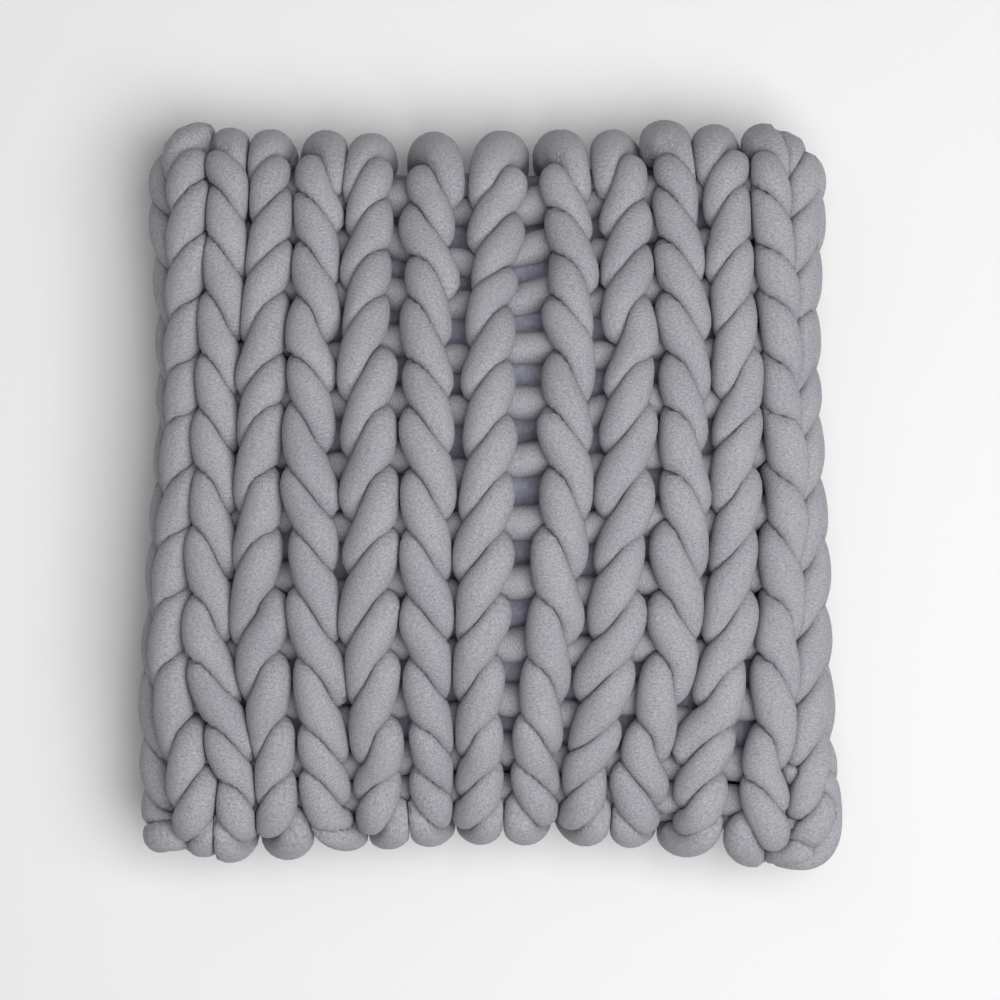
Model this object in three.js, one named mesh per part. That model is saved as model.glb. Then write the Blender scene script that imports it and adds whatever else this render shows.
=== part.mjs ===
// A square throw pillow: a sewn, fibre-filled cushion inside a cover knitted in the round from thick
// stuffed tube yarn. Millimetres, +Z up: the pillow lies on its back, its knitted front faces +Z and +Y is
// its top edge. The origin is the middle of its footprint on the surface it rests on.
//
// The cover is plain knitting. Twelve rounds of yarn run round the girth of the pillow, each one looping
// through the round below it, and one more strand along the top and the bottom edge joins front to back.
import * as THREE from "three";

// --- Pillow -------------------------------------------------------------------------------------------
const HALF_WIDTH = 182; // from the middle to where the side edge starts to turn, along X
const HALF_HEIGHT = 196; // the same along Y
const EDGE_RADIUS = 34; // of the turn at the edge, to the middle of the outer yarn layer
const CORNER_FULLNESS = 0.35; // 1 gives ball-shaped corners, 0 gives square ones
const FRONT_DOME = 46; // how far the middle of the front stands above its edges
const BACK_DOME = 24;
const SEAM_HEIGHT = 62; // of the plane between front and back, above the floor

// --- Yarn ---------------------------------------------------------------------------------------------
const YARN_RADIUS = 14; // to the corners of its section
const YARN_SIDES = 5;
const YARN_GAP = 2.2; // kept between neighbouring runs of yarn
const WALES = 14; // columns of stitches in a round: half of them on the front
const LEGS = 2 * WALES; // each stitch shows two legs
const MEAN_STITCH = 38; // height of a stitch whose yarn is full size
const THINNING = 0.35; // power of a stitch's height that its yarn's thickness follows

// --- Cushion inside -----------------------------------------------------------------------------------
const INNER_LIMIT = -27; // how deep the yarn may reach under its outer layer
const COVER_DEPTH = -30.5; // depth of the cushion's fabric
const COVER_THICKNESS = 1;
const COVER_GRID = 12; // facets across a panel
const CLEARANCE = 0.3;

// Along the surface, from the middle of the front to its edges.
const TO_SIDE = HALF_WIDTH + (EDGE_RADIUS * Math.PI) / 2;
const TO_TOP = HALF_HEIGHT + (EDGE_RADIUS * Math.PI) / 2;
const GIRTH = 4 * TO_SIDE;

// How far each edge is drawn in, at places along it from bottom to top or from left to right.
const OUTLINE_AT = [-220, -120, -40, 40, 120, 220];
const DRAWN_IN = {
  left: [0, 1, 6, 11, 11, 4],
  right: [1, 7, 9, 13, 15, 9],
  bottom: [6, 11, 16, 18, 12, -3],
  top: [4, 7, 9, 8, 3, 5],
};

// The legs of the front stitches wander a little. Each row is one leg's distance from the middle, along the
// surface, at the five heights of LEG_HEIGHTS. The first leg runs down the left edge.
const LEG_HEIGHTS = [-185, -100, 0, 95, 190];
const FRONT_LEGS = [
  [-TO_SIDE, -TO_SIDE, -TO_SIDE, -TO_SIDE, -TO_SIDE],
  [-192, -216, -213, -211, -200],
  [-163, -183, -183, -180, -171],
  [-138, -149, -151, -148, -143],
  [-106, -111, -116, -116, -110],
  [-72, -76, -75, -81, -78],
  [-38, -41, -39, -41, -39],
  [-8, -7, -2, -2, 5],
  [27, 37, 48, 49, 50],
  [60, 78, 86, 89, 86],
  [94, 116, 124, 126, 120],
  [135, 152, 161, 162, 155],
  [176, 189, 199, 198, 186],
  [213, 221, 223, 221, 214],
];

// Where each course's stitches start, in the middle and at the sides. The first course is the strand along
// the top edge, the last one is the strand along the bottom edge, and the rounds are between them.
const COURSE_MIDDLE = [213, 184, 147, 109, 72, 38, -3, -42, -85, -126, -168, -201, -236, -274];
const COURSE_SIDES = [196, 163, 131, 102, 66, 30, -9, -46, -86, -124, -161, -195, -229, -267];
const ROUNDS = COURSE_MIDDLE.length - 2;

// A stitch's left leg: how far each point of it lies towards the middle of its loop (as a share of half the
// loop's width), how far up (in courses), how deep, and how thick the yarn is (as a share of YARN_RADIUS).
// It dives under the loop below, comes up between that loop's legs, lies on top, and dives again under the
// leg of the loop above.
const LEG_ROUTE = [
  [-0.15, -0.1, -16, 1],
  [0.5, 0.2, -6, 1],
  [0.0, 0.75, 0, 1],
  [-0.35, 1.13, -2, 1],
  [0.3, 1.47, -18, 1],
];

// Along the top and bottom edges the strand crosses over from front to back above each leg in turn. Each
// row is one crossing: how far it strays from its leg, and how thick the yarn is.
const TOP_CROSSINGS = [
  [-12, 1.35],
  [-4, 1.15],
  [0, 1.1],
  [2, 1.15],
  [0, 1.05],
  [5, 1.15],
  [0, 1.2],
  [-5, 1.2],
  [-5, 1.0],
  [-6, 1.35],
  [-6, 1.15],
  [-2, 1.25],
  [0, 0.9],
];
const BOTTOM_CROSSINGS = [
  [-2, 1],
  [-8, 1.3],
  [8, 1.35],
  [14, 1.05],
  [5, 1.15],
  [1, 1.1],
  [-3, 1.05],
  [-4, 1.15],
  [0, 1.1],
  [-2, 1],
  [-10, 1.25],
  [-4, 1.2],
  [-14, 1],
];
const TOP_BACK_LIFT = 24; // how much nearer to the edge the top strand runs on the back than on the front
// The bottom strand's two ends, tucked in at the corners: a knob on the left and an open ring on the right.
const LEFT_KNOB = [
  [-246, -215, -12, 0.9],
  [-237, -225, 3, 1.05],
  [-221, -229, 4, 0.9],
  [-206, -240, -8, 0.9],
];
const RIGHT_RING = [
  [206, -264, -3, 0.92],
  [209, -246, 2, 0.98],
  [225, -236, 3, 1],
  [236, -218, 4, 1],
  [235, -198, 3, 1],
  [217, -190, 0, 0.95],
  [199, -187, -15, 0.9],
];

const lerp = (a, b, t) => a + (b - a) * t;
const clamp = (x, low, high) => Math.min(high, Math.max(low, x));

// The point at surface distances u (round the girth) and v (up the front), and w outside the outer yarn.
function place(u, v, w) {
  let side = 1;
  u = ((((u + TO_SIDE) % GIRTH) + GIRTH) % GIRTH) - TO_SIDE;
  if (u > TO_SIDE) {
    u = 2 * TO_SIDE - u;
    side = -side;
  }
  if (Math.abs(v) > TO_TOP) {
    v = Math.sign(v) * (2 * TO_TOP - Math.abs(v));
    side = -side;
  }
  const x = clamp(u, -HALF_WIDTH, HALF_WIDTH);
  const y = clamp(v, -HALF_HEIGHT, HALF_HEIGHT);
  const roundSide = Math.abs(u - x) / EDGE_RADIUS;
  const roundTop = Math.abs(v - y) / EDGE_RADIUS;
  const reach = EDGE_RADIUS + w;
  const fullness = Math.pow(Math.max(Math.cos(roundTop), 1e-6), CORNER_FULLNESS);
  const across = x + Math.sign(u) * reach * Math.sin(roundSide) * fullness;
  const up = y + Math.sign(v) * reach * Math.sin(roundTop);
  return new THREE.Vector3(
    drawIn(across, HALF_WIDTH, up, across < 0 ? DRAWN_IN.left : DRAWN_IN.right),
    drawIn(up, HALF_HEIGHT, across, up < 0 ? DRAWN_IN.bottom : DRAWN_IN.top),
    SEAM_HEIGHT + side * (reach * Math.cos(roundSide) * Math.cos(roundTop) + dome(x, y, side)),
  );
}

// A distance from the middle, less what its edge is drawn in there.
function drawIn(distance, half, along, edge) {
  const share = Math.pow(distance / (half + EDGE_RADIUS), 4);
  return distance - Math.sign(distance) * share * alongTable(edge, OUTLINE_AT, along);
}

function dome(x, y, side) {
  const p = Math.abs(x / HALF_WIDTH);
  const q = Math.abs(y / HALF_HEIGHT);
  if (side > 0) return FRONT_DOME * Math.pow((1 - p * p) * (1 - q * q), 1.1);
  return BACK_DOME * (1 - p ** 4) * (1 - q ** 4);
}

// The distance round the girth of leg j at height v. The back's legs are evenly spaced in the middle and
// meet the front's at the top and bottom edges.
function legAt(j, v) {
  const turns = Math.floor(j / LEGS);
  j -= turns * LEGS;
  if (j < WALES) return turns * GIRTH + alongTable(FRONT_LEGS[j], LEG_HEIGHTS, v);
  if (j === WALES) return turns * GIRTH + TO_SIDE;
  const even = TO_SIDE + ((j - WALES) * 2 * TO_SIDE) / WALES;
  const facing = 2 * TO_SIDE - alongTable(FRONT_LEGS[LEGS - j], LEG_HEIGHTS, v);
  return turns * GIRTH + lerp(even, facing, Math.min(1, (v / TO_TOP) ** 2));
}

function alongTable(row, places, place) {
  const last = places.length - 1;
  const at = clamp(place, places[0], places[last]);
  const k = Math.min(last - 1, places.findLastIndex((p) => p <= at));
  return lerp(row[k], row[k + 1], (at - places[k]) / (places[k + 1] - places[k]));
}

function courseHeight(course, u) {
  const across = clamp(1 - Math.abs(Math.abs(u - TO_SIDE) - TO_SIDE) / TO_SIDE, -1, 1);
  return lerp(COURSE_MIDDLE[course], COURSE_SIDES[course], across * across);
}

// One round of knitting, as a closed list of [u, v, w, thickness].
function roundRoute(course) {
  const route = [];
  for (let j = 0; j < LEGS; j++) {
    const isLeft = j % 2 === 0;
    const partner = isLeft ? j + 1 : j - 1;
    const leg = LEG_ROUTE.map((point) => legPoint(j, partner, course, point));
    route.push(...(isLeft ? leg : leg.reverse()));
  }
  return route;
}

function legPoint(j, partner, course, [inward, rise, depth, thickness]) {
  const u = legAt(j, COURSE_MIDDLE[course]);
  const start = courseHeight(course, u);
  const stitch = course > 0 ? courseHeight(course - 1, u) - start : start - courseHeight(1, u);
  const v = start + rise * stitch;
  const here = legAt(j, v);
  const towardsPartner = (inward * (legAt(partner, v) - here)) / 2;
  return [here + towardsPartner, v, depth, thickness * (stitch / MEAN_STITCH) ** THINNING];
}

// A strand along the top or bottom edge. It crosses the edge over each leg in turn, from front to back and
// from back to front. At the top it comes up through the loops of the last round, on both faces. At the
// bottom its own loops hold the first round.
function edgeRoute(edge) {
  const top = edge > 0;
  const course = top ? 0 : ROUNDS + 1;
  const ends = top ? [LEG_ROUTE[0], LEG_ROUTE[1]] : [LEG_ROUTE[4], LEG_ROUTE[3]];
  const mirror = top ? 2 * TO_TOP - TOP_BACK_LIFT : -2 * TO_TOP;
  const route = top ? [] : [...LEFT_KNOB];
  (top ? TOP_CROSSINGS : BOTTOM_CROSSINGS).forEach(([strays, crossing], i) => {
    const j = i + 1;
    const isEven = j % 2 === 0;
    const front = ends.map((point) => legPoint(j, isEven ? j + 1 : j - 1, course, point));
    const back = ends.map((point) => legPoint(j, isEven ? j - 1 : j + 1, course, point));
    const overEdge = back.map(([at, v, ...rest]) => [at, mirror - v, ...rest]);
    const u = legAt(j, edge * TO_TOP) + strays;
    const leg = [...front, [u, edge * TO_TOP, 0, crossing], ...overEdge.reverse()];
    route.push(...(isEven === top ? leg : leg.reverse()));
  });
  if (!top) route.push(...RIGHT_RING);
  return route;
}

// --- Tubes --------------------------------------------------------------------------------------------
const OWN_STRETCH = 44; // yarn nearer than this along its own strand doesn't hold itself off
const REACH = 2.7 * YARN_RADIUS; // yarn farther away than this isn't looked at
const OBSTACLE_STEP = 4; // between the points that stand for a yarn where it holds others off
const CHECKS_PER_STEP = 4; // places between one section and the next where they are fitted
const PASSES = 6;
const PULL = 1.6; // how much of a correction falls to each of the two sections, above 1 to settle sooner
const SLIMMEST = 0.8; // radius
const BEND_SHARE = 0.45; // of the stretch to the next section that a section may lean into in a bend
const SHARPEST_BEND = 0.99; // sine of half the turn of a bend

// A strand's centreline with the frame of its section at each point: up is away from the cushion, across is
// sideways. bend points to the inside of the curve, roomInBend is how far the section may reach that way.
function strand(name, route, closed) {
  const points = route.map(([u, v, w]) => place(u, v, w));
  const outward = route.map(([u, v, w], i) => place(u, v, w + 1).sub(points[i]).normalize());
  const n = points.length;
  const at = (i) => points[closed ? (i + n) % n : clamp(i, 0, n - 1)];
  const along = [0];
  for (let i = 0; i < n; i++) along.push(along[i] + at(i).distanceTo(at(i + 1)));
  const frames = points.map((here, i) => {
    const arriving = here.clone().sub(at(i - 1));
    const leaving = at(i + 1).clone().sub(here);
    if (arriving.lengthSq() === 0) arriving.copy(leaving);
    if (leaving.lengthSq() === 0) leaving.copy(arriving);
    const shorter = Math.min(arriving.length(), leaving.length());
    arriving.normalize();
    leaving.normalize();
    const bend = leaving.clone().sub(arriving);
    const halfTurn = Math.asin(Math.min(bend.length() / 2, SHARPEST_BEND));
    const roomInBend = (BEND_SHARE * shorter) / Math.tan(halfTurn + 1e-6);
    const tangent = arriving.add(leaving).normalize();
    const up = outward[i].clone().addScaledVector(tangent, -outward[i].dot(tangent)).normalize();
    return { up, across: new THREE.Vector3().crossVectors(tangent, up), bend: bend.normalize(), roomInBend };
  });
  return { name, route, points, outward, along, frames, closed, steps: closed ? n : n - 1 };
}

// Points along every strand, which hold other yarn off.
function obstaclesOf(strands) {
  const made = [];
  for (const s of strands) {
    for (let i = 0; i < s.steps; i++) {
      const next = s.points[(i + 1) % s.points.length];
      const count = Math.ceil(s.points[i].distanceTo(next) / OBSTACLE_STEP);
      for (let k = 0; k < count; k++) {
        const share = k / count;
        const at = s.points[i].clone().lerp(next, share);
        made.push({ at, of: s, along: lerp(s.along[i], s.along[i + 1], share) });
      }
    }
  }
  return made;
}

function holdsOff(obstacle, s, here, along) {
  if (obstacle.at.distanceTo(here) > REACH) return false;
  if (obstacle.of !== s) return true;
  const apart = Math.abs(obstacle.along - along);
  return Math.min(apart, s.closed ? s.along[s.steps] - apart : apart) > OWN_STRETCH;
}

// How much of an offset from the middle of a yarn fits on this side of the plane midway to an obstacle.
function shareThatFits(here, offset, obstacle) {
  const gap = obstacle.at.clone().sub(here);
  const reach = offset.dot(gap);
  const room = (gap.lengthSq() - YARN_GAP * gap.length()) / 2;
  return reach > room ? Math.max(room, 0) / reach : 1;
}

// The yarn itself. Its section's corners are drawn in until neither they nor the edges between one section
// and the next cross the midway plane to any other yarn.
function tube(s, obstacles) {
  const corners = s.frames.map(({ up, across, bend, roomInBend }, i) => {
    const section = [];
    for (let k = 0; k < YARN_SIDES; k++) {
      const angle = ((k + 0.5) * 2 * Math.PI) / YARN_SIDES;
      const out = up.clone().multiplyScalar(Math.cos(angle)).addScaledVector(across, Math.sin(angle));
      let radius = YARN_RADIUS * s.route[i][3];
      if (bend.dot(out) > 0) radius = Math.min(radius, roomInBend / bend.dot(out));
      const inwards = -out.dot(s.outward[i]);
      if (inwards > 0) radius = Math.min(radius, (s.route[i][2] - INNER_LIMIT) / inwards);
      section.push(out.multiplyScalar(radius));
    }
    return section;
  });
  for (let step = 0; step < s.steps * PASSES; step++) {
    const i = step % s.steps;
    const j = (i + 1) % s.points.length;
    for (let check = 0; check <= CHECKS_PER_STEP; check++) {
      const share = check / CHECKS_PER_STEP;
      const here = s.points[i].clone().lerp(s.points[j], share);
      const along = lerp(s.along[i], s.along[i + 1], share);
      const near = obstacles.filter((obstacle) => holdsOff(obstacle, s, here, along));
      for (let k = 0; k < YARN_SIDES; k++) {
        const offset = corners[i][k].clone().lerp(corners[j][k], share);
        const fits = Math.min(1, ...near.map((obstacle) => shareThatFits(here, offset, obstacle)));
        shorten(corners[i][k], lerp(1, fits, Math.min(1, PULL * (1 - share))));
        shorten(corners[j][k], lerp(1, fits, Math.min(1, PULL * share)));
      }
    }
  }
  const vertices = corners.flatMap((section, i) => section.map((offset) => s.points[i].clone().add(offset)));
  for (const vertex of vertices) vertex.z = Math.max(vertex.z, 0);
  return skin(vertices, s.points.length, s.closed);
}

function shorten(offset, share) {
  offset.multiplyScalar(Math.max(share, Math.min(1, SLIMMEST / offset.length())));
}

// Joins sections of YARN_SIDES corners into a tube, closed on itself or capped at both ends.
function skin(vertices, sections, closed) {
  const triangles = [];
  const corner = (i, k) => (i % sections) * YARN_SIDES + (k % YARN_SIDES);
  for (let i = 0; i < (closed ? sections : sections - 1); i++) {
    for (let k = 0; k < YARN_SIDES; k++) {
      triangles.push(corner(i, k), corner(i + 1, k + 1), corner(i + 1, k));
      triangles.push(corner(i, k), corner(i, k + 1), corner(i + 1, k + 1));
    }
  }
  if (!closed) {
    for (let k = 1; k + 1 < YARN_SIDES; k++) {
      triangles.push(corner(0, 0), corner(0, k + 1), corner(0, k));
      triangles.push(corner(sections - 1, 0), corner(sections - 1, k), corner(sections - 1, k + 1));
    }
  }
  return solid(vertices, triangles);
}

function solid(vertices, triangles) {
  return new THREE.BufferGeometry()
    .setAttribute("position", new THREE.Float32BufferAttribute(vertices.flatMap((p) => [p.x, p.y, p.z]), 3))
    .setIndex(triangles)
    .toNonIndexed();
}

// --- Cushion ------------------------------------------------------------------------------------------
// A grid of points over the front (side 1) or back (side -1), at one depth.
function sheetPoints(side, depth) {
  const points = [];
  for (let row = 0; row <= COVER_GRID; row++) {
    for (let column = 0; column <= COVER_GRID; column++) {
      const u = lerp(-TO_SIDE, TO_SIDE, column / COVER_GRID);
      const v = lerp(-TO_TOP, TO_TOP, row / COVER_GRID);
      points.push(place(side > 0 ? u : 2 * TO_SIDE - u, v, depth));
    }
  }
  return points;
}

function gridTriangles(offset, flip) {
  const triangles = [];
  const across = COVER_GRID + 1;
  for (let row = 0; row < COVER_GRID; row++) {
    for (let column = 0; column < COVER_GRID; column++) {
      const a = offset + row * across + column;
      const quad = [a, a + 1, a + across + 1, a, a + across + 1, a + across];
      triangles.push(...(flip ? quad.toReversed() : quad));
    }
  }
  return triangles;
}

// The grid's border, walked anticlockwise seen from the front.
function border() {
  const across = COVER_GRID + 1;
  const at = (row, column) => row * across + column;
  const walk = [];
  for (let i = 0; i < COVER_GRID; i++) walk.push(at(0, i));
  for (let i = 0; i < COVER_GRID; i++) walk.push(at(i, COVER_GRID));
  for (let i = COVER_GRID; i > 0; i--) walk.push(at(COVER_GRID, i));
  for (let i = COVER_GRID; i > 0; i--) walk.push(at(i, 0));
  return walk;
}

// One sewn panel of the cushion: a thin shell, open along the seam where it meets the other panel.
function panel(side) {
  const lift = (p) => new THREE.Vector3(p.x, p.y, p.z + (side * CLEARANCE) / 2);
  const outer = sheetPoints(side, COVER_DEPTH).map(lift);
  const inner = sheetPoints(side, COVER_DEPTH - COVER_THICKNESS).map(lift);
  const count = outer.length;
  const triangles = [...gridTriangles(0, side < 0), ...gridTriangles(count, side > 0)];
  const walk = border();
  walk.forEach((a, i) => {
    const b = walk[(i + 1) % walk.length];
    const edge = [a, count + a, count + b, a, count + b, b];
    triangles.push(...(side > 0 ? edge : edge.toReversed()));
  });
  return solid([...outer, ...inner], triangles);
}

// The fibre fill: one closed body inside both panels.
function filling() {
  const depth = COVER_DEPTH - COVER_THICKNESS - CLEARANCE;
  const front = sheetPoints(1, depth);
  const back = sheetPoints(-1, depth);
  return solid([...front, ...back], [...gridTriangles(0, false), ...gridTriangles(front.length, true)]);
}

// --- Assembly -----------------------------------------------------------------------------------------
const yarn = new THREE.MeshStandardMaterial({ color: 0xa3a3a6, roughness: 0.95, metalness: 0 });
const cushionFabric = new THREE.MeshStandardMaterial({ color: 0x8e8fa3, roughness: 0.8, metalness: 0 });
const fibre = new THREE.MeshStandardMaterial({ color: 0xf2f0ea, roughness: 1, metalness: 0 });

const pillow = new THREE.Group();
pillow.name = "throw_pillow";

function add(name, geometry, material) {
  const mesh = new THREE.Mesh(geometry, material);
  mesh.name = name;
  pillow.add(mesh);
}

const strands = [];
for (let course = 1; course <= ROUNDS; course++) {
  const number = String(ROUNDS + 1 - course).padStart(2, "0");
  strands.push(strand(`knit_round_${number}`, roundRoute(course), true));
}
strands.push(strand("top_joining_strand", edgeRoute(1), false));
strands.push(strand("bottom_joining_strand", edgeRoute(-1), false));
const obstacles = obstaclesOf(strands);
for (const s of strands) add(s.name, tube(s, obstacles), yarn);

add("cushion_cover_front", panel(1), cushionFabric);
add("cushion_cover_back", panel(-1), cushionFabric);
add("cushion_fill", filling(), fibre);

export default pillow;
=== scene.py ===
"""A chunky knitted throw pillow: stuffed tube yarn over a woven cushion, lying on its back on a pale floor.

Lengths are in millimetres until a mesh is made. Blender gets metres.
A place on the pillow's surface is (u, v, w): u runs round its girth from the middle of the front, v up the
front and over the edges, and w is the height above the middle of the outer layer of yarn.
"""

import math

import bmesh
import bpy
import numpy as np
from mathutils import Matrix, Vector, kdtree


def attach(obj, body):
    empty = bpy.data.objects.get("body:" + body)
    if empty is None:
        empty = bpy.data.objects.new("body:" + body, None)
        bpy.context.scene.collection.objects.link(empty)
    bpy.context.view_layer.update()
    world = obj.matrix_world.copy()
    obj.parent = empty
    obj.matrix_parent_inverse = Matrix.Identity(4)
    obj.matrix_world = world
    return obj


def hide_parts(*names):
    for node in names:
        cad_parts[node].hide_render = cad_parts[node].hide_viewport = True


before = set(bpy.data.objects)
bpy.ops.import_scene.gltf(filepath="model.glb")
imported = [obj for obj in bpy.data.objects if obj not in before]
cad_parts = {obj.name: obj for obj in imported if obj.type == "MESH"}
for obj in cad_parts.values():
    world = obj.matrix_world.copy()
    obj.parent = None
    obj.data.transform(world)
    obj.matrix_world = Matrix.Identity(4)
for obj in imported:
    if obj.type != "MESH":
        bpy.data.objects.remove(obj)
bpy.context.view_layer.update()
MM = 0.001

# --- Pillow, as in the CAD model -----------------------------------------------------------------------
HALF_WIDTH = 182.0  # from the middle to where the side edge starts to turn, along X
HALF_HEIGHT = 196.0  # the same along Y
EDGE_RADIUS = 34.0  # of the turn at the edge, to the middle of the outer yarn layer
CORNER_FULLNESS = 0.35
FRONT_DOME = 46.0
BACK_DOME = 24.0
SEAM_HEIGHT = 62.0
TO_SIDE = HALF_WIDTH + EDGE_RADIUS * math.pi / 2
TO_TOP = HALF_HEIGHT + EDGE_RADIUS * math.pi / 2
GIRTH = 4 * TO_SIDE

# How far each edge is drawn in, at places along it from bottom to top or from left to right.
OUTLINE_AT = (-220, -120, -40, 40, 120, 220)
DRAWN_IN = {
    "left": (0, 1, 6, 11, 11, 4),
    "right": (1, 7, 9, 13, 15, 9),
    "bottom": (6, 11, 16, 18, 12, -3),
    "top": (4, 7, 9, 8, 3, 5),
}

# --- Knitting ------------------------------------------------------------------------------------------
WALES = 14  # columns of stitches in a round: half of them on the front
LEGS = 2 * WALES

# Each row is one leg's distance from the middle of the front at the five heights of LEG_HEIGHTS.
LEG_HEIGHTS = (-185, -100, 0, 95, 190)
FRONT_LEGS = (
    (-TO_SIDE, -TO_SIDE, -TO_SIDE, -TO_SIDE, -TO_SIDE),
    (-192, -216, -213, -211, -200),
    (-163, -183, -183, -180, -171),
    (-138, -149, -151, -148, -143),
    (-106, -111, -116, -116, -110),
    (-72, -76, -75, -81, -78),
    (-38, -41, -39, -41, -39),
    (-8, -7, -2, -2, 5),
    (27, 37, 48, 49, 50),
    (60, 78, 86, 89, 86),
    (94, 116, 124, 126, 120),
    (135, 152, 161, 162, 155),
    (176, 189, 199, 198, 186),
    (213, 221, 223, 221, 214),
)
# Where each course's stitches start, in the middle and at the sides. The first course is the strand along
# the top edge, the last one is the strand along the bottom edge, and the rounds are between them.
COURSE_MIDDLE = (213, 184, 147, 109, 72, 38, -3, -42, -85, -126, -168, -201, -236, -274)
COURSE_SIDES = (196, 163, 131, 102, 66, 30, -9, -46, -86, -124, -161, -195, -229, -267)
ROUNDS = len(COURSE_MIDDLE) - 2
MEAN_STITCH = 38.0  # height of a stitch whose yarn is as thick as LEG_ROUTE says
THINNING = 0.35  # power of a stitch's height that its yarn's thickness follows

# A left leg's route: inward (as a share of half the loop's width), up (in stitches), depth, and thickness
# of the yarn (as a share of YARN_RADIUS). It dives under the loop below, comes up between that loop's legs,
# lies on top and dives under the loop above.
LEG_ROUTE = (
    (-0.35, -0.2, -17.0, 0.93),
    (0.4, 0.04, -6.0, 0.9),
    (0.03, 0.67, 0.5, 1.12),
    (-0.34, 1.28, -1.5, 0.95),
    (0.25, 1.56, -17.0, 0.84),
)

# Along the top and bottom edges the strand crosses over from front to back above each leg in turn. Each row
# is one crossing: how far it strays from its leg and the thickness of the yarn.
TOP_CROSSINGS = (
    (-13, 1.55),
    (-4, 1.3),
    (0, 1.27),
    (2, 1.32),
    (0, 1.22),
    (4, 1.35),
    (0, 1.4),
    (-5, 1.4),
    (-5, 1.2),
    (-6, 1.55),
    (-6, 1.32),
    (-2, 1.42),
    (0, 1.05),
)
BOTTOM_CROSSINGS = (
    (-2, 1.1),
    (-8, 1.5),
    (8, 1.5),
    (14, 1.2),
    (5, 1.25),
    (1, 1.25),
    (-3, 1.2),
    (-4, 1.3),
    (0, 1.25),
    (-2, 1.15),
    (-10, 1.4),
    (-4, 1.4),
    (-14, 1.1),
)
EDGE_FULLNESS = 1.2  # thickness of that strand beside its crossings, as a share of a stitch's there
LEANS = (0.0, 0.6, 0.6, 0.0)  # how far its points beside a crossing stray, as a share of the crossing's own
TOP_BACK_LIFT = 24.0  # how much nearer to the edge the top strand runs on the back than on the front

# The bottom strand's two ends, tucked in at the corners: a knob on the left and an open ring on the right.
LEFT_KNOB = (
    (-246, -215, -12.0, 0.9),
    (-237, -225, 3.0, 1.05),
    (-221, -229, 4.0, 0.9),
    (-206, -240, -8.0, 0.9),
)
RIGHT_RING = (
    (206, -264, -3.0, 0.92),
    (209, -246, 2.0, 0.98),
    (225, -236, 3.0, 1.0),
    (236, -218, 4.0, 1.0),
    (235, -198, 3.0, 1.0),
    (219, -183, 0.0, 0.95),
    (205, -176, -19.0, 0.85),
)

# --- Yarn ----------------------------------------------------------------------------------------------
YARN_RADIUS = 12.0
YARN_SIDES = 24
SAMPLES_PER_POINT = 6  # sections between two points of a route
YARN_GAP = 0.3  # between two yarns that press on each other
INNER_LIMIT = -27.0  # how deep the yarn may reach
JITTER = 1.6  # of each point of a route
SOFTNESS = 12.0  # power of the soft minimum: higher gives sharper creases
REACH = 2.6 * YARN_RADIUS  # yarn farther away than this isn't looked at
OWN_STRETCH = 9.0  # yarn nearer than this along its own strand doesn't press on itself
SIDEWAYS = 0.05  # cosine under which a direction doesn't lead towards something
FREE = 1e3  # stands for no limit

rng = np.random.default_rng(45)


def place(uvw):
    """Points in millimetres at an array of (u, v, w)."""
    u, v, w = np.asarray(uvw, float).T
    u = (u + TO_SIDE) % GIRTH - TO_SIDE
    behind = u > TO_SIDE
    u = np.where(behind, 2 * TO_SIDE - u, u)
    over = np.abs(v) > TO_TOP
    v = np.where(over, np.sign(v) * (2 * TO_TOP - np.abs(v)), v)
    side = np.where(behind ^ over, -1.0, 1.0)
    x = np.clip(u, -HALF_WIDTH, HALF_WIDTH)
    y = np.clip(v, -HALF_HEIGHT, HALF_HEIGHT)
    round_side = np.abs(u - x) / EDGE_RADIUS
    round_top = np.abs(v - y) / EDGE_RADIUS
    reach = EDGE_RADIUS + w
    fullness = np.maximum(np.cos(round_top), 1e-6) ** CORNER_FULLNESS
    across = x + np.sign(u) * reach * np.sin(round_side) * fullness
    up = y + np.sign(v) * reach * np.sin(round_top)
    return np.column_stack(
        (
            draw_in(across, HALF_WIDTH, up, "left", "right"),
            draw_in(up, HALF_HEIGHT, across, "bottom", "top"),
            SEAM_HEIGHT + side * (reach * np.cos(round_side) * np.cos(round_top) + dome(x, y, side)),
        )
    )


def draw_in(distance, half, along, low, high):
    """Distances from the middle, less what the nearer of two opposite edges is drawn in there."""
    on_low = np.interp(along, OUTLINE_AT, DRAWN_IN[low])
    on_high = np.interp(along, OUTLINE_AT, DRAWN_IN[high])
    drawn = np.where(distance < 0, on_low, on_high)
    return distance - np.sign(distance) * drawn * (distance / (half + EDGE_RADIUS)) ** 4


def dome(x, y, side):
    p = np.abs(x / HALF_WIDTH)
    q = np.abs(y / HALF_HEIGHT)
    front = FRONT_DOME * ((1 - p**2) * (1 - q**2)) ** 1.1
    back = BACK_DOME * (1 - p**4) * (1 - q**4)
    return np.where(side > 0, front, back)


def outward(uvw):
    lifted = np.array(uvw, float)
    lifted[:, 2] += 1
    return unit(place(lifted) - place(uvw))


def unit(vectors):
    return vectors / np.maximum(np.linalg.norm(vectors, axis=-1, keepdims=True), 1e-9)


def leg_at(j, v):
    """The distance round the girth of leg j at height v."""
    turns, j = divmod(j, LEGS)
    if j < WALES:
        return turns * GIRTH + float(np.interp(v, LEG_HEIGHTS, FRONT_LEGS[j]))
    if j == WALES:
        return turns * GIRTH + TO_SIDE
    even = TO_SIDE + (j - WALES) * 2 * TO_SIDE / WALES
    facing = 2 * TO_SIDE - float(np.interp(v, LEG_HEIGHTS, FRONT_LEGS[LEGS - j]))
    share = min(1.0, (v / TO_TOP) ** 2)
    return turns * GIRTH + even + (facing - even) * share


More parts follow.
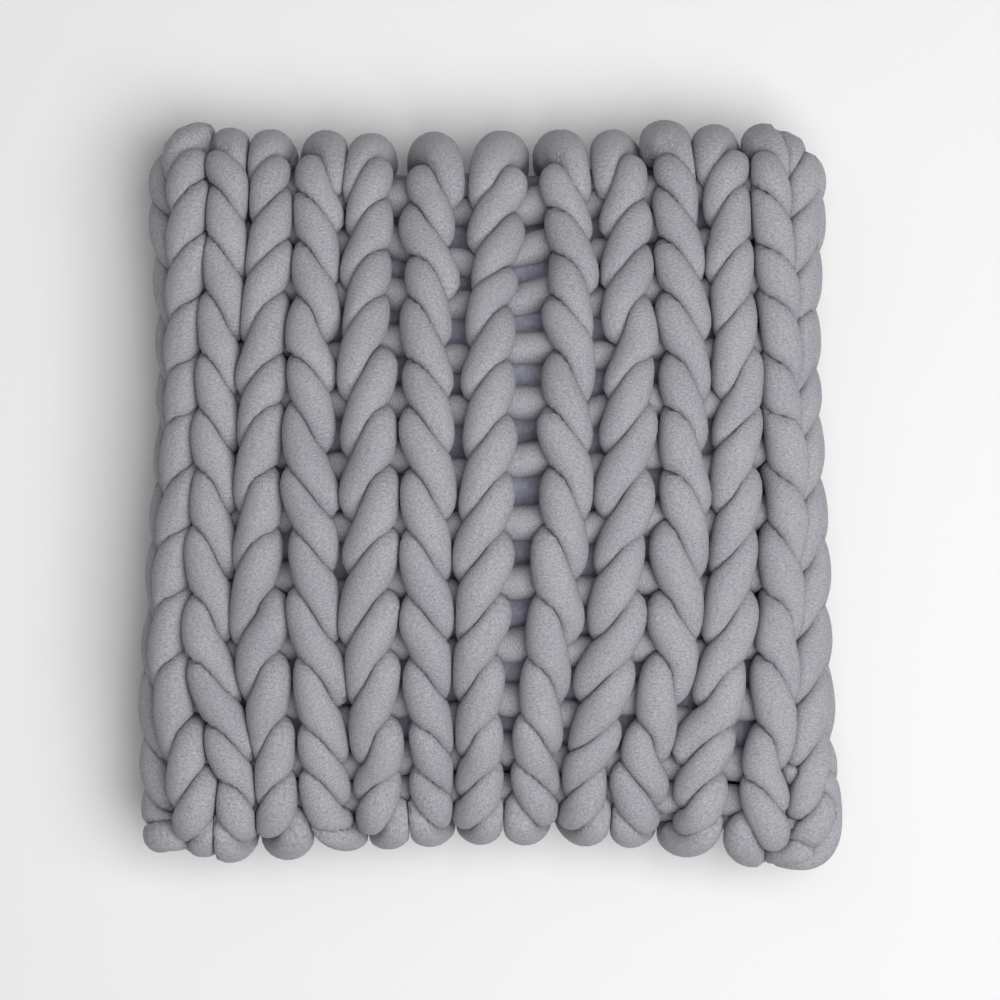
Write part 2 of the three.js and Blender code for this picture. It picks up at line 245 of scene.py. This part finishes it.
def course_height(course, u):
    across = 1 - abs(abs(u - TO_SIDE) - TO_SIDE) / TO_SIDE
    share = min(1.0, across * across)
    return COURSE_MIDDLE[course] + (COURSE_SIDES[course] - COURSE_MIDDLE[course]) * share


def leg_point(j, partner, course, inward, rise, depth, thickness):
    """A point of leg j's route. It rises by one for each course."""
    u = leg_at(j, COURSE_MIDDLE[course])
    start = course_height(course, u)
    stitch = course_height(course - 1, u) - start if course else start - course_height(1, u)
    size = stitch / MEAN_STITCH
    v = start + rise * stitch
    here = leg_at(j, v)
    across = size * inward * (leg_at(partner, v) - here) / 2
    return (here + across, v, depth, thickness * size**THINNING)


def round_route(course):
    """One round of knitting, as a closed list of (u, v, w, thickness)."""
    route = []
    for j in range(LEGS):
        left = j % 2 == 0
        partner = j + 1 if left else j - 1
        leg = [leg_point(j, partner, course, *point) for point in LEG_ROUTE]
        route += leg if left else leg[::-1]
    return route


def edge_route(edge):
    """The strand along the top (edge 1) or bottom (edge -1). It crosses the edge over each leg in turn."""
    top = edge > 0
    route = [] if top else list(LEFT_KNOB)
    ends = LEG_ROUTE[:2] if top else LEG_ROUTE[:2:-1]
    mirror = 2 * TO_TOP - TOP_BACK_LIFT if top else -2 * TO_TOP
    for j, (strays, crossing) in enumerate(TOP_CROSSINGS if top else BOTTOM_CROSSINGS, start=1):
        even = j % 2 == 0
        u = leg_at(j, edge * TO_TOP)
        course = 0 if top else ROUNDS + 1
        front = [leg_point(j, j + 1 if even else j - 1, course, *point) for point in ends]
        back = [leg_point(j, j - 1 if even else j + 1, course, *point) for point in ends]
        over_edge = [(at, mirror - v, depth, thickness) for at, v, depth, thickness in back[::-1]]
        leg = [
            (at + leans * strays, v, depth, thickness * EDGE_FULLNESS)
            for leans, (at, v, depth, thickness) in zip(LEANS, (*front, *over_edge))
        ]
        leg.insert(2, (u + strays, edge * TO_TOP, 0.0, crossing))
        route += leg if even == top else leg[::-1]
    return route if top else route + list(RIGHT_RING)


# --- Strands -------------------------------------------------------------------------------------------
class Strand:
    """A yarn's centreline, sampled evenly between the points of its route."""

    def __init__(self, name, route, closed):
        self.name = name
        self.closed = closed
        points = np.array(route, float)
        points[:, :2] += rng.normal(0, JITTER, (len(points), 2))
        smooth = smooth_through(points, closed)
        self.uvw = smooth[:, :3]
        self.radius = YARN_RADIUS * smooth[:, 3]
        self.points = place(self.uvw)
        self.out = outward(self.uvw)
        step = np.linalg.norm(self.after() - self.points, axis=1)
        self.along = np.concatenate(([0], np.cumsum(step)))
        self.length = self.along[-1]
        tangent = unit(self.after() - self.before())
        self.up = unit(self.out - tangent * (self.out * tangent).sum(1, keepdims=True))
        self.across = np.cross(tangent, self.up)

    def after(self):
        return shifted(self.points, -1, self.closed)

    def before(self):
        return shifted(self.points, 1, self.closed)


def shifted(rows, by, closed):
    moved = np.roll(rows, by, axis=0)
    if not closed:
        end = -1 if by < 0 else 0
        moved[end] = rows[end]
    return moved


def smooth_through(points, closed):
    """A Catmull-Rom curve through the points."""
    if closed:
        lap = np.array([GIRTH, 0, 0, 0])
        padded = np.vstack((points[-1] - lap, points, points[0] + lap, points[1] + lap))
    else:
        padded = np.vstack((points[0], points, points[-1]))
    t = np.arange(SAMPLES_PER_POINT)[:, None] / SAMPLES_PER_POINT
    pieces = []
    for a, b, c, d in zip(padded, padded[1:], padded[2:], padded[3:]):
        slope = (c - a) / 2
        next_slope = (d - b) / 2
        rest = c - b
        bend = 3 * rest - 2 * slope - next_slope
        twist = slope + next_slope - 2 * rest
        pieces.append(b + t * slope + t**2 * bend + t**3 * twist)
    curve = np.vstack(pieces)
    return curve if closed else np.vstack((curve, points[-1]))


def limits(strand, others, tree):
    """How far the strand's section may reach in each direction at each sample, up to the other yarns."""
    angles = ((np.arange(YARN_SIDES) + 0.5) * 2 * math.pi / YARN_SIDES)[None, :, None]
    directions = strand.up[:, None] * np.cos(angles) + strand.across[:, None] * np.sin(angles)
    softened = np.repeat(strand.radius[:, None] ** -SOFTNESS, YARN_SIDES, axis=1)
    for i, here in enumerate(strand.points):
        found = [index for _, index, _ in tree.find_range(Vector(here), REACH)]
        index = np.array(found)
        own = others["strand"][index] == strand.number
        apart = np.abs(others["along"][index] - strand.along[i])
        if strand.closed:
            apart = np.minimum(apart, strand.length - apart)
        index = index[~(own & (apart < OWN_STRETCH))]
        gap = others["points"][index] - here
        towards = directions[i] @ gap.T
        room = ((gap**2).sum(1) - YARN_GAP * np.linalg.norm(gap, axis=1)) / 2
        facing = towards > SIDEWAYS
        limit = np.where(facing, room / np.where(facing, towards, 1), FREE)
        nearest = np.maximum(limit.min(axis=1), 1.0)
        softened[i] += nearest**-SOFTNESS
    inwards = -(directions * strand.out[:, None]).sum(2)
    depth = np.maximum(strand.uvw[:, 2] - INNER_LIMIT, 2)[:, None]
    to_cushion = np.where(inwards > SIDEWAYS, depth / np.maximum(inwards, SIDEWAYS), FREE)
    softened += to_cushion**-SOFTNESS
    return directions, softened ** (-1 / SOFTNESS)


def tube_mesh(strand, directions, reach):
    """The yarn's skin, with a UV map in metres: U along the yarn and V round it."""
    vertices = strand.points[:, None] + directions * reach[:, :, None]
    vertices[:, :, 2] = np.maximum(vertices[:, :, 2], 0)
    sections, sides = reach.shape
    rings = sections if strand.closed else sections - 1
    i, k = np.meshgrid(np.arange(rings), np.arange(sides), indexing="ij")
    ahead = (i + 1) % sections
    beside = (k + 1) % sides
    corners = (i * sides + k, i * sides + beside, ahead * sides + beside, ahead * sides + k)
    faces = np.stack(corners, -1).reshape(-1, 4).tolist()
    if not strand.closed:
        faces += [list(range(sides))[::-1], [(sections - 1) * sides + k for k in range(sides)]]
    mesh = bpy.data.meshes.new(strand.name)
    mesh.from_pydata((vertices.reshape(-1, 3) * MM).tolist(), [], faces)
    mesh.shade_smooth()
    start, end = strand.along[i], strand.along[i + 1]
    around = 2 * math.pi * YARN_RADIUS / sides
    low, high = k * around, (k + 1) * around
    along_and_round = (np.stack((start, start, end, end), -1), np.stack((low, high, high, low), -1))
    uv = np.stack(along_and_round, -1).reshape(-1, 2)
    coordinates = np.zeros((len(mesh.loops), 2))
    coordinates[: len(uv)] = uv * MM
    mesh.uv_layers.new(name="yarn").data.foreach_set("uv", coordinates.ravel())
    return mesh


def make_strands():
    courses = range(1, ROUNDS + 1)
    strands = [Strand(f"knit_round_{ROUNDS + 1 - k:02d}", round_route(k), True) for k in courses]
    strands.append(Strand("top_joining_strand", edge_route(1), False))
    strands.append(Strand("bottom_joining_strand", edge_route(-1), False))
    for number, strand in enumerate(strands):
        strand.number = number
    return strands


def knit(material):
    strands = make_strands()
    others = {
        "points": np.vstack([s.points for s in strands]),
        "along": np.concatenate([s.along[: len(s.points)] for s in strands]),
        "strand": np.concatenate([np.full(len(s.points), s.number) for s in strands]),
    }
    tree = kdtree.KDTree(len(others["points"]))
    for index, point in enumerate(others["points"]):
        tree.insert(Vector(point), index)
    tree.balance()
    for strand in strands:
        directions, reach = limits(strand, others, tree)
        mesh = tube_mesh(strand, directions, reach)
        mesh.materials.append(material)
        piece = bpy.data.objects.new(strand.name + "_yarn", mesh)
        bpy.context.scene.collection.objects.link(piece)
        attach(piece, "root")
        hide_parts(strand.name)


# --- Cushion inside ------------------------------------------------------------------------------------
COVER_DEPTH = -33.0  # of the fabric before it is blown up
COVER_GRID = 60
VOXEL = 0.006  # metres, of the cloth's mesh
FRAMES = 20
MOST_SWELL = 0.003  # metres that any point of the cloth may move
PRESSURE = 4.0
SHRINKING = -0.08  # below zero the cloth grows, and creases
FABRIC = 0.0008  # metres
FILL_GAP = 0.0015  # metres between the fabric's middle and the fill


def cushion_points(side):
    columns = np.linspace(-TO_SIDE, TO_SIDE, COVER_GRID + 1)
    rows = np.linspace(-TO_TOP, TO_TOP, COVER_GRID + 1)
    u, v = np.meshgrid(columns, rows)
    u = u if side > 0 else 2 * TO_SIDE - u
    return place(np.column_stack((u.ravel(), v.ravel(), np.full(u.size, COVER_DEPTH))))


def cushion_shape():
    """The closed cushion: a front and a back sheet joined all round."""
    across = COVER_GRID + 1
    corner = [row * across + column for row in range(COVER_GRID) for column in range(COVER_GRID)]
    front = [(a, a + 1, a + across + 1, a + across) for a in corner]
    back = [tuple(a + across * across for a in face[::-1]) for face in front]
    mesh = bpy.data.meshes.new("cushion")
    points = np.vstack((cushion_points(1), cushion_points(-1)))
    mesh.from_pydata((points * MM).tolist(), [], front + back)
    joined = bmesh.new()
    joined.from_mesh(mesh)
    bmesh.ops.remove_doubles(joined, verts=joined.verts, dist=1e-5)
    joined.to_mesh(mesh)
    joined.free()
    body = bpy.data.objects.new("cushion", mesh)
    bpy.context.scene.collection.objects.link(body)
    remesh = body.modifiers.new("remesh", "REMESH")
    remesh.mode = "VOXEL"
    remesh.voxel_size = VOXEL
    body.data = evaluated_mesh(body)
    body.modifiers.clear()
    return body


def evaluated_mesh(piece):
    return bpy.data.meshes.new_from_object(piece.evaluated_get(bpy.context.evaluated_depsgraph_get()))


def blow_up(body):
    """Presses the fill out against the fabric, as cloth under pressure, and keeps the creases it gets."""
    before = np.array([vertex.co for vertex in body.data.vertices])
    cloth = body.modifiers.new("cloth", "CLOTH")
    cloth.settings.use_pressure = True
    cloth.settings.uniform_pressure_force = PRESSURE
    cloth.settings.shrink_min = SHRINKING
    cloth.settings.effector_weights.gravity = 0
    for step in range(1, FRAMES + 1):
        bpy.context.scene.frame_set(step)
    swollen = evaluated_mesh(body)
    moved = np.array([vertex.co for vertex in swollen.vertices]) - before
    distance = np.linalg.norm(moved, axis=1, keepdims=True)
    after = before + moved * np.minimum(1, MOST_SWELL / np.maximum(distance, 1e-9))
    body.modifiers.clear()
    bpy.context.scene.frame_set(1)
    body.data.vertices.foreach_set("co", after.ravel())
    body.data.update()


def part_of(body, name, keeps, offset, material):
    """A copy of the faces whose middle `keeps` accepts, moved outwards by `offset` metres."""
    work = bmesh.new()
    work.from_mesh(body.data)
    work.normal_update()
    for vertex in work.verts:
        vertex.co += vertex.normal * offset
    unwanted = [face for face in work.faces if not keeps(face.calc_center_median().z)]
    bmesh.ops.delete(work, geom=unwanted, context="FACES")
    mesh = bpy.data.meshes.new(name)
    work.to_mesh(mesh)
    work.free()
    mesh.shade_smooth()
    mesh.materials.clear()
    mesh.materials.append(material)
    piece = bpy.data.objects.new(name, mesh)
    bpy.context.scene.collection.objects.link(piece)
    piece.modifiers.new("smooth", "SUBSURF").levels = 1
    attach(piece, "root")
    return piece


def make_cushion(fabric, fibre):
    body = cushion_shape()
    blow_up(body)
    seam = SEAM_HEIGHT * MM
    for word, keeps in (("front", lambda z: z > seam), ("back", lambda z: z <= seam)):
        panel = part_of(body, f"cushion_{word}_panel", keeps, 0, fabric)
        solidify = panel.modifiers.new("fabric", "SOLIDIFY")
        solidify.thickness = FABRIC
        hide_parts(f"cushion_cover_{word}")
    fill = part_of(body, "cushion_fibre", lambda z: True, -FILL_GAP, fibre)
    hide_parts("cushion_fill")
    bpy.data.objects.remove(body)


# --- Materials -----------------------------------------------------------------------------------------
class Nodes:
    """Short calls that add shader nodes to one material."""

    def __init__(self, name, roughness, sheen):
        self.material = bpy.data.materials.new(name)
        self.material.use_nodes = True
        self.tree = self.material.node_tree
        self.shader = self.tree.nodes["Principled BSDF"]
        self.shader.inputs["Roughness"].default_value = roughness
        self.shader.inputs["Sheen Weight"].default_value = sheen
        self.shader.inputs["Sheen Roughness"].default_value = 0.5
        self.shader.inputs["Specular IOR Level"].default_value = 0.15

    def put(self, value, socket):
        if isinstance(value, bpy.types.NodeSocket):
            self.tree.links.new(value, socket)
        else:
            socket.default_value = value

    def math(self, operation, *values):
        node = self.tree.nodes.new("ShaderNodeMath")
        node.operation = operation
        for value, socket in zip(values, node.inputs):
            self.put(value, socket)
        return node.outputs[0]

    def noise(self, scale, detail, vector):
        node = self.tree.nodes.new("ShaderNodeTexNoise")
        node.inputs["Scale"].default_value = scale
        node.inputs["Detail"].default_value = detail
        self.put(vector, node.inputs["Vector"])
        return node.outputs["Fac"]

    def object_place(self):
        return self.tree.nodes.new("ShaderNodeTexCoord").outputs["Object"]

    def yarn_uv(self):
        node = self.tree.nodes.new("ShaderNodeUVMap")
        node.uv_map = "yarn"
        parts = self.tree.nodes.new("ShaderNodeSeparateXYZ")
        self.put(node.outputs["UV"], parts.inputs[0])
        return parts.outputs[0], parts.outputs[1]

    def vector(self, x, y, z=0.0):
        node = self.tree.nodes.new("ShaderNodeCombineXYZ")
        for value, socket in zip((x, y, z), node.inputs):
            self.put(value, socket)
        return node.outputs[0]

    def ramp(self, factor, *stops):
        node = self.tree.nodes.new("ShaderNodeValToRGB")
        elements = node.color_ramp.elements
        while len(elements) < len(stops):
            elements.new(0.5)
        for element, (at, color) in zip(elements, stops):
            element.position = at
            element.color = (*color, 1)
        self.put(factor, node.inputs["Fac"])
        return node.outputs["Color"]

    def blend(self, mode, factor, a, b):
        node = self.tree.nodes.new("ShaderNodeMix")
        node.data_type = "RGBA"
        node.blend_type = mode
        self.put(factor, node.inputs["Factor"])
        self.put(a, node.inputs["A"])
        self.put(b, node.inputs["B"])
        return node.outputs["Result"]

    def bump(self, height, distance, strength):
        node = self.tree.nodes.new("ShaderNodeBump")
        node.inputs["Distance"].default_value = distance
        node.inputs["Strength"].default_value = strength
        self.put(height, node.inputs["Height"])
        self.put(node.outputs["Normal"], self.shader.inputs["Normal"])


KNIT_COURSE = 0.0021  # metres between the jersey's courses, which ring the yarn
KNIT_WALE = 0.0017  # between its wales, which run along the yarn


def yarn_material():
    """Heather cotton jersey: pale and dark fibres mixed, in fine V-shaped stitches."""
    n = Nodes("heather_jersey", 0.95, 0.08)
    along, around = n.yarn_uv()
    wale = n.math("PINGPONG", around, KNIT_WALE / 2)
    slanted = n.math("MULTIPLY_ADD", wale, 1.1, along)
    course = n.math("PINGPONG", slanted, KNIT_COURSE / 2)
    stitches = n.math("ADD", n.math("MULTIPLY", wale, 500), n.math("MULTIPLY", course, 700))
    fibres = n.noise(1.0, 3, n.vector(n.math("MULTIPLY", along, 1100), n.math("MULTIPLY", around, 420)))
    specks = n.noise(1150, 2, n.object_place())
    mixed = n.math("ADD", n.math("MULTIPLY", fibres, 0.5), n.math("MULTIPLY", specks, 0.5))
    dark, middle, light = (0.27, 0.27, 0.31), (0.4, 0.4, 0.43), (0.53, 0.53, 0.545)
    heather = n.ramp(mixed, (0.34, dark), (0.5, middle), (0.66, light))
    clouds = n.ramp(n.noise(22, 3, n.object_place()), (0.3, (0.88, 0.88, 0.9)), (0.7, (1, 1, 1)))
    color = n.blend("MULTIPLY", 1.0, heather, clouds)
    n.put(color, n.shader.inputs["Base Color"])
    fuzz = n.noise(1500, 2, n.object_place())
    soft = n.noise(70, 3, n.object_place())
    fuzzy = n.math("ADD", stitches, n.math("MULTIPLY", fuzz, 0.8))
    height = n.math("ADD", fuzzy, n.math("MULTIPLY", soft, 2.0))
    n.bump(height, 0.0005, 0.6)
    return n.material


WEAVE = 0.0011  # metres between the cushion fabric's threads


def cushion_material():
    """Plain weave with a faint sheen, softly creased."""
    n = Nodes("cushion_weave", 0.6, 0.15)
    place_on = n.tree.nodes.new("ShaderNodeSeparateXYZ")
    n.put(n.object_place(), place_on.inputs[0])
    warp = n.math("SINE", n.math("MULTIPLY", place_on.outputs[0], 2 * math.pi / WEAVE))
    weft = n.math("SINE", n.math("MULTIPLY", place_on.outputs[1], 2 * math.pi / WEAVE))
    weave = n.math("MULTIPLY", warp, weft)
    creases = n.noise(38, 3, n.object_place())
    tone = n.math("MULTIPLY_ADD", weave, 0.12, n.noise(300, 2, n.object_place()))
    color = n.ramp(tone, (0.3, (0.36, 0.37, 0.47)), (0.7, (0.52, 0.53, 0.64)))
    n.put(color, n.shader.inputs["Base Color"])
    height = n.math("ADD", n.math("MULTIPLY", weave, 0.15), n.math("MULTIPLY", creases, 12.0))
    n.bump(height, 0.0005, 0.7)
    return n.material


def fibre_material():
    """White fibre fill in soft tufts."""
    n = Nodes("fibre_fill", 1.0, 0.3)
    tufts = n.noise(60, 6, n.object_place())
    color = n.ramp(tufts, (0.3, (0.7, 0.69, 0.66)), (0.7, (0.88, 0.87, 0.84)))
    n.put(color, n.shader.inputs["Base Color"])
    n.bump(n.math("MULTIPLY", tufts, 6.0), 0.001, 0.8)
    return n.material


# --- Scene ---------------------------------------------------------------------------------------------
CAMERA_DISTANCE = 2.4  # metres above the seam, looking straight down
CAMERA_MIDDLE = (0.0059, -0.0029)


def add_camera():
    camera = bpy.data.cameras.new("camera")
    camera.lens = 132.5
    camera.clip_end = 20
    holder = bpy.data.objects.new("camera", camera)
    holder.location = (*CAMERA_MIDDLE, CAMERA_DISTANCE + SEAM_HEIGHT * MM)
    bpy.context.scene.collection.objects.link(holder)
    bpy.context.scene.camera = holder


def add_light(name, size, power, location):
    light = bpy.data.lights.new(name, "AREA")
    light.size = size
    light.energy = power
    holder = bpy.data.objects.new(name, light)
    holder.location = location
    holder.rotation_euler = (-Vector(location)).to_track_quat("-Z", "Y").to_euler()
    bpy.context.scene.collection.objects.link(holder)


def add_floor():
    bpy.ops.mesh.primitive_plane_add(size=12)
    floor = bpy.context.object
    floor.name = "floor"
    floor.location.z = -0.0005
    material = bpy.data.materials.new("floor")
    material.use_nodes = True
    shader = material.node_tree.nodes["Principled BSDF"]
    shader.inputs["Base Color"].default_value = (0.9, 0.9, 0.9, 1)
    shader.inputs["Roughness"].default_value = 0.9
    floor.data.materials.append(material)


def add_surroundings():
    world = bpy.data.worlds.new("studio")
    world.use_nodes = True
    background = world.node_tree.nodes["Background"]
    background.inputs["Color"].default_value = (1, 1, 1, 1)
    background.inputs["Strength"].default_value = 0.15
    bpy.context.scene.world = world


bpy.context.scene.view_settings.view_transform = "Standard"
add_camera()
add_light("key", size=2.0, power=60, location=(0.8, -0.35, 2.3))
add_light("fill", size=2.5, power=7, location=(-1.0, 1.0, 2.2))
add_surroundings()
add_floor()
knit(yarn_material())
make_cushion(cushion_material(), fibre_material())
